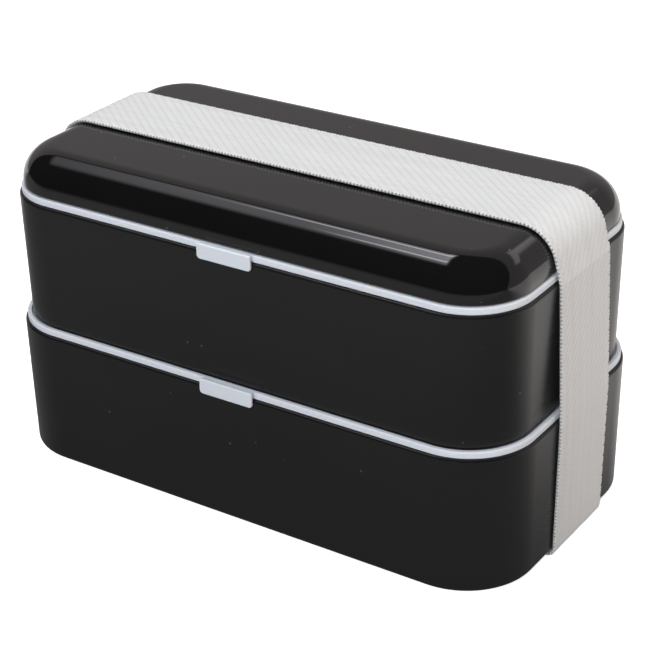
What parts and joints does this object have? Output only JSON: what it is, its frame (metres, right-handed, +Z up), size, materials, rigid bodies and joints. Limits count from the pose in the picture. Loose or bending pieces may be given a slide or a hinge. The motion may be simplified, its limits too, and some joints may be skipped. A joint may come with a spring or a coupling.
{
  "type": "bento lunch box",
  "caption": "Two-tier rectangular bento lunch box: satin black containers, white sealing inner lids with front pull tabs, domed gloss black outer lid and an off-white elastic strap around the stack.",
  "frame": {"origin": "on the surface the box stands on, under the middle of the bounding box, with the pull tabs counted in it", "axes": "+X along the box, which is also the way the strap runs, -Y towards the front with the pull tabs, +Z up"},
  "size_m": [0.188, 0.099, 0.1069],
  "materials": {
    "black_satin_plastic": "satin",
    "black_gloss_plastic": "polished",
    "white_plastic": "soft gloss",
    "silicone": "matte translucent",
    "webbing": "woven twill"
  },
  "bodies": {
    "lower_tier": {"lower_container": "black_satin_plastic"},
    "divider": {"lower_divider": "white_plastic"},
    "lower_seal_lid": {"lower_inner_lid": "white_plastic", "lower_seal_ring": "silicone"},
    "lower_vent": {"lower_vent_plug": "silicone"},
    "upper_tier": {"upper_container": "black_satin_plastic"},
    "upper_seal_lid": {"upper_inner_lid": "white_plastic", "upper_seal_ring": "silicone"},
    "upper_vent": {"upper_vent_plug": "silicone"},
    "cover": {"outer_lid": "black_gloss_plastic"},
    "strap": {"elastic_strap": "webbing"}
  },
  "joints": [
    {"name": "strap_slide_off", "type": "slide", "parent": "lower_tier", "child": "strap", "axis": [0, 1, 0], "range_m": [-0.075, 0.062]},
    {"name": "lower_lid_lift", "type": "slide", "parent": "lower_tier", "child": "lower_seal_lid", "axis": [0, 0, 1], "range_m": [0, 0.09], "deforming": ["elastic_strap"]},
    {"name": "divider_lift", "type": "slide", "parent": "lower_tier", "child": "divider", "axis": [0, 0, 1], "range_m": [0, 0.045]},
    {"name": "lower_vent_pull", "type": "slide", "parent": "lower_seal_lid", "child": "lower_vent", "axis": [0, 0, 1], "range_m": [0, 0.0016]},
    {"name": "upper_tier_lift", "type": "slide", "parent": "lower_seal_lid", "child": "upper_tier", "axis": [0, 0, 1], "range_m": [0, 0.06], "deforming": ["elastic_strap"]},
    {"name": "upper_lid_lift", "type": "slide", "parent": "upper_tier", "child": "upper_seal_lid", "axis": [0, 0, 1], "range_m": [0, 0.06], "deforming": ["elastic_strap"]},
    {"name": "upper_vent_pull", "type": "slide", "parent": "upper_seal_lid", "child": "upper_vent", "axis": [0, 0, 1], "range_m": [0, 0.0016]},
    {"name": "cover_lift", "type": "slide", "parent": "upper_seal_lid", "child": "cover", "axis": [0, 0, 1], "range_m": [0, 0.05], "deforming": ["elastic_strap"]}
  ],
  "couplings": [
    {"joint": "divider_lift", "follows": "lower_lid_lift", "ratio": 0.5}
  ]
}
